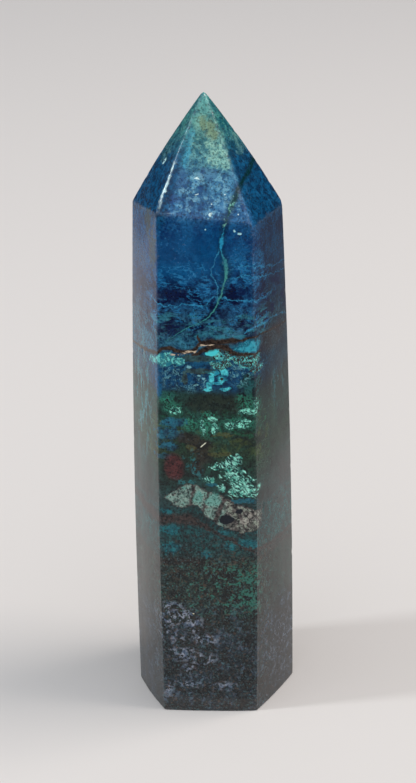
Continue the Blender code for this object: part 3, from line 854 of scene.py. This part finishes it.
def speckled_zone(rock, colour):
    """The dark lower shaft: brown and green pepper above, lavender and blue-grey flecks below, and a painted glint."""
    paint = rock.paint
    pepper = paint.both(rock.between(15.5, 27.0, 1.5), paint.ramp(rock.fray, 0.53, 0.46))
    colour = paint.mix(paint.math("MULTIPLY", pepper, 0.7), colour, rock.streaky((16, 15, 16), (44, 36, 32)))
    clumps = rock.rags(((-2.4, 25.0, 2.4, 1.0), (0.6, 22.8, 2.0, 1.2), (-5.2, 22.6, 1.4, 0.8)), 0.8, 0.2)
    colour = paint.mix(paint.math("MULTIPLY", clumps, 0.7), colour, rock.streaky((12, 11, 12), (40, 33, 30)))
    bank = paint.math("MULTIPLY_ADD", rock.x, 0.012, paint.math("MULTIPLY_ADD", rock.fine, 0.5, rock.swirl))
    green = paint.both(
        rock.between(16.0, 24.5, 1.5), paint.ramp(bank, 0.79, 0.87), paint.ramp(rock.x, 6.9, 6.0, 0.1, 0.8))
    colour = paint.mix(green, colour, shown(36, 98, 84))
    dense = paint.ramp(rock.z, 18.5, 15.0)
    blue = paint.both(dense, paint.ramp(rock.cloud, 0.50, 0.60), 0.5)
    colour = paint.mix(blue, colour, shown(24, 38, 50))
    rusty = paint.both(dense, paint.ramp(rock.cloud, 0.46, 0.38), 0.4)
    colour = paint.mix(rusty, colour, shown(40, 30, 26))
    lavender = rock.streaky((72, 86, 108), (142, 147, 160))
    groups = rock.spots((
        (-6.3, 17.3, 1.5, 0.8), (-7.0, 15.2, 1.2, 1.9), (-4.8, 15.6, 1.6, 1.4), (-3.2, 14.4, 1.2, 1.2),
        (-6.2, 12.6, 1.6, 1.0), (-1.6, 12.0, 1.8, 0.7), (-4.8, 9.6, 1.8, 1.0), (-2.0, 8.7, 1.8, 0.8),
        (-4.0, 7.2, 1.0, 0.7), (-7.0, 3.6, 0.6, 1.1), (-4.0, 4.6, 1.9, 0.5), (1.2, 4.2, 1.6, 0.6)), 0.8)
    worms = paint.both(paint.ramp(rock.rings, 0.22, 0.11), paint.ramp(rock.fray, 0.46, 0.52))
    colour = paint.mix(paint.both(groups, worms, 0.95), colour, lavender)
    few = paint.both(
        dense, worms, paint.ramp(rock.fray, 0.50, 0.58), paint.ramp(rock.cloud, 0.46, 0.56))
    colour = paint.mix(paint.math("MULTIPLY", few, 0.6), colour, shown(72, 84, 100))
    rust = paint.both(paint.ramp(rock.dots, 0.14, 0.04), paint.ramp(rock.z, 22.0, 19.0))
    colour = paint.mix(paint.math("MULTIPLY", rust, 0.4), colour, shown(66, 38, 28))
    # A painted glint: a small painted highlight.
    painted_glint = rock.spots(((-3.3, 16.2, 0.2, 0.12),))
    return paint.mix(painted_glint, colour, shown(200, 192, 164))


def side_streaks(rock, colour):
    """What shows on the side faces: an olive streak, turquoise-grey streaks, a brown tint."""
    paint = rock.paint
    olive = paint.either(
        paint.lump(rock.curly, (-7.5, -7.1, 70.6), (0.9, 1.0, 3.0), 0.8),
        paint.lump(rock.curly, (-8.2, -5.4, 74.0), (0.8, 1.0, 2.2), 0.8))
    olive = rock.torn(olive, 1.0, 0.25)
    colour = paint.mix(paint.math("MULTIPLY", olive, 0.55), colour, shown(58, 64, 42))
    slate = paint.lump(rock.bent, (-9.6, -2.5, 66.5), (2.0, 6.0, 7.5), 0.4)
    slate = paint.both(slate, paint.ramp(rock.cloud, 0.40, 0.58), 0.5)
    colour = paint.mix(slate, colour, shown(28, 50, 76))
    left = paint.lump(rock.bent, (-9.6, -4.0, 48.5), (1.8, 4.5, 8.5), 0.5)
    right = paint.lump(rock.bent, (9.5, -4.0, 49.5), (1.8, 2.2, 3.0), 0.5)
    right = paint.math("MULTIPLY", right, 0.4)
    streaks = paint.both(paint.either(left, right), paint.ramp(rock.steep, 0.48, 0.58), 0.7)
    colour = paint.mix(streaks, colour, shown(58, 118, 126))
    tint = paint.lump(rock.bent, (8.8, -5.0, 57.0), (3.0, 5.0, 1.8), 0.5)
    colour = paint.mix(paint.math("MULTIPLY", tint, 0.6), colour, shown(46, 36, 31))
    low = paint.lump(rock.curly, (9.8, -4.0, 7.5), (3.0, 6.0, 6.0), 0.6)
    flecks = paint.both(low, paint.ramp(rock.rings, 0.14, 0.05), paint.ramp(rock.fray, 0.47, 0.55), 0.4)
    return paint.mix(flecks, colour, shown(96, 104, 118))


def as_group(region, paint, shared, colour):
    """Add one region as a node group of its own, so that every tree stays small."""
    tree = bpy.data.node_groups.new(region.__name__, "ShaderNodeTree")
    kinds = [(name, "Vector") for name in VECTORS] + [(name, "Float") for name in PATTERNS]
    for name, kind in kinds + [("colour", "Color")]:
        tree.interface.new_socket(name, in_out="INPUT", socket_type="NodeSocket" + kind)
    tree.interface.new_socket("painted", in_out="OUTPUT", socket_type="NodeSocketColor")
    given = tree.nodes.new("NodeGroupInput").outputs
    painted = region(Rock(Painter(tree), given), given["colour"])
    tree.links.new(painted, tree.nodes.new("NodeGroupOutput").inputs["painted"])
    group = paint.tree.nodes.new("ShaderNodeGroup")
    group.node_tree = tree
    for name, _ in kinds:
        paint.tree.links.new(shared[name], group.inputs[name])
    if colour:
        paint.tree.links.new(colour, group.inputs["colour"])
    return group.outputs["painted"]


def stone_material():
    """Polished banded stone: zones, veins and patches in depth, gloss, faint grain, worn edges and a painted edge
    highlight.
    """
    material = bpy.data.materials.new("polished_jasper")
    material.use_nodes = True
    shader = material.node_tree.nodes["Principled BSDF"]
    shader.inputs["IOR"].default_value = STONE_IOR
    paint = Painter(material.node_tree)
    shared = shared_patterns(paint)
    colour = None
    for region in (
            ground_colour, blue_zone, tip_zone, speckled_zone, teal_zone, green_zone, royal_zone,
            mint_scrolls, pale_band, side_streaks, dark_grains, pale_lines, green_vein, brown_vein):
        colour = as_group(region, paint, shared, colour)
    grain = shared["grain"]
    wear = paint.add("Attribute", {}, attribute_name="wear").outputs["Fac"]
    rubbed = paint.both(wear, paint.ramp(grain, 0.35, 0.65), EDGE_PALENESS)
    colour = paint.mix(rubbed, colour, shown(150, 160, 165))
    # Painted highlight: a pale streak along the lower part of the tip's front-left edge, where that edge catches
    # light.
    painted_edge_highlight = paint.lump(shared["bent"], (-5.1, -6.2, 78.9), (1.9, 2.8, 3.4), 0.3)
    painted_edge_highlight = paint.both(painted_edge_highlight, paint.ramp(wear, 0.35, 0.8), paint.ramp(grain, 0.30, 0.50), 0.8)
    colour = paint.mix(painted_edge_highlight, colour, shown(176, 208, 224))
    paint.tree.links.new(colour, shader.inputs["Base Color"])
    gloss = paint.ramp(shared["wander"], 0.3, 0.7, *POLISH)
    gloss = paint.math("MULTIPLY_ADD", rubbed, 0.5, gloss)
    gloss = paint.math("MULTIPLY_ADD", paint.ramp(grain, 0.45, 0.75), 0.08, gloss)
    paint.tree.links.new(gloss, shader.inputs["Roughness"])
    bump = paint.add("Bump", {
        "Strength": 1.0, "Distance": BUMP_DEPTH * MM, "Height": grain})
    paint.tree.links.new(bump.outputs[0], shader.inputs["Normal"])
    return material


def place_camera():
    """The photograph's camera: its place, pitch, small roll and focal length."""
    pitch, roll = math.radians(CAMERA_PITCH), math.radians(CAMERA_ROLL)
    forward = Vector((0, math.cos(pitch), -math.sin(pitch)))
    up = Vector((0, math.sin(pitch), math.cos(pitch)))
    right = Vector((1, 0, 0))
    turned_right = right * math.cos(roll) + up * math.sin(roll)
    turned_up = up * math.cos(roll) - right * math.sin(roll)
    camera = bpy.data.objects.new("camera", bpy.data.cameras.new("camera"))
    camera.data.sensor_width = SENSOR
    camera.data.lens = SENSOR * FOCAL_PIXELS / PHOTO_HIGH
    camera.data.clip_start = 0.005
    turn = Matrix((turned_right, turned_up, -forward)).transposed().to_4x4()
    camera.matrix_world = Matrix.Translation(Vector(CAMERA_PLACE) * MM) @ turn
    bpy.context.scene.collection.objects.link(camera)
    bpy.context.scene.camera = camera


def plain_material(name, colour, roughness):
    material = bpy.data.materials.new(name)
    material.use_nodes = True
    shader = material.node_tree.nodes["Principled BSDF"]
    shader.inputs["Base Color"].default_value = (*colour, 1)
    shader.inputs["Roughness"].default_value = roughness
    return material


def room_light():
    """A soft room: bright in front from just above the level, dimmer overhead and behind."""
    world = bpy.data.worlds.new("room")
    world.use_nodes = True
    paint = Painter(world.node_tree)
    way = paint.add("SeparateXYZ", {0: paint.add("TexCoord", {}).outputs["Generated"]})
    risen = paint.ramp(way.outputs["Z"], *ROOM_RISE)
    front = paint.ramp(way.outputs["Y"], *ROOM_FRONT, *ROOM_LEVELS)
    sky = world.node_tree.nodes["Background"]
    sky.inputs["Color"].default_value = ROOM_COLOUR
    light = paint.math("MULTIPLY_ADD", risen, front, ROOM_LEAST)
    world.node_tree.links.new(light, sky.inputs["Strength"])
    bpy.context.scene.world = world


def soft_lamp(name, place, aim, size, power, colour):
    lamp = bpy.data.lights.new(name, "AREA")
    lamp.shape = "RECTANGLE"
    lamp.size, lamp.size_y = size
    lamp.energy = power
    lamp.color = colour
    holder = bpy.data.objects.new(name, lamp)
    holder.location = place
    turn = (Vector(aim) - Vector(place)).to_track_quat("-Z", "Y")
    holder.rotation_euler = turn.to_euler()
    bpy.context.scene.collection.objects.link(holder)


def staged(name, verts, faces, material):
    """A piece of the studio, which isn't part of the object."""
    data = bpy.data.meshes.new(name)
    data.from_pydata(verts, [], faces)
    data.materials.append(material)
    thing = bpy.data.objects.new(name, data)
    bpy.context.scene.collection.objects.link(thing)
    return thing


def glowing_material(name, colour):
    """An even surface of one brightness, whatever the light."""
    material = plain_material(name, (0, 0, 0), 1.0)
    shader = material.node_tree.nodes["Principled BSDF"]
    shader.inputs["Specular IOR Level"].default_value = 0.0
    shader.inputs["Emission Color"].default_value = (*colour, 1)
    shader.inputs["Emission Strength"].default_value = 1.0
    return material


def studio():
    """A pale floor and backdrop, a soft room, two lamps, and dark cards beside the camera."""
    sides = 64
    ring = [
        (STUDIO_REACH * math.cos(math.tau * k / sides), STUDIO_REACH * math.sin(math.tau * k / sides))
        for k in range(sides)]
    matt = plain_material("floor", FLOOR_COLOUR, 0.7)
    matt.node_tree.nodes["Principled BSDF"].inputs["Specular IOR Level"].default_value = 0.0
    staged("floor", [(x, y, 0) for x, y in ring], [range(sides)], matt)
    walls = [(k, (k + 1) % sides, sides + (k + 1) % sides, sides + k) for k in range(sides)]
    verts = [(x, y, z) for z in (0, BACKDROP_HIGH) for x, y in ring]
    backdrop = staged("backdrop", verts, walls, glowing_material("backdrop", BACKDROP_LIGHT))
    backdrop.visible_diffuse = False
    backdrop.visible_glossy = False
    backdrop.visible_shadow = False
    for number, (middle, wide, deep, colour) in enumerate(DARK_CARDS + HUNG_CARDS):
        turn = Matrix.Identity(3)
        if number >= len(DARK_CARDS):
            turn = (Vector(TIP_MIDDLE) - Vector(middle)).to_track_quat("Z", "Y").to_matrix()
        corners = [
            Vector(middle) + turn @ Vector((i * wide, j * deep, 0))
            for i, j in ((-1, -1), (1, -1), (1, 1), (-1, 1))]
        card = staged(f"card_{number}", corners, [range(4)], glowing_material("card", colour))
        card.visible_camera = False
        card.visible_diffuse = False
        card.visible_shadow = False
    soft_lamp("key", *KEY_LAMP)
    soft_lamp("left_box", *LEFT_BOX)
    room_light()
    bpy.context.scene.view_settings.view_transform = "Standard"


def main():
    stone = dense_stone(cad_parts["tower_point"])
    stone.data.materials.append(stone_material())
    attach(stone, "root")
    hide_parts("tower_point")
    place_camera()
    studio()


main()
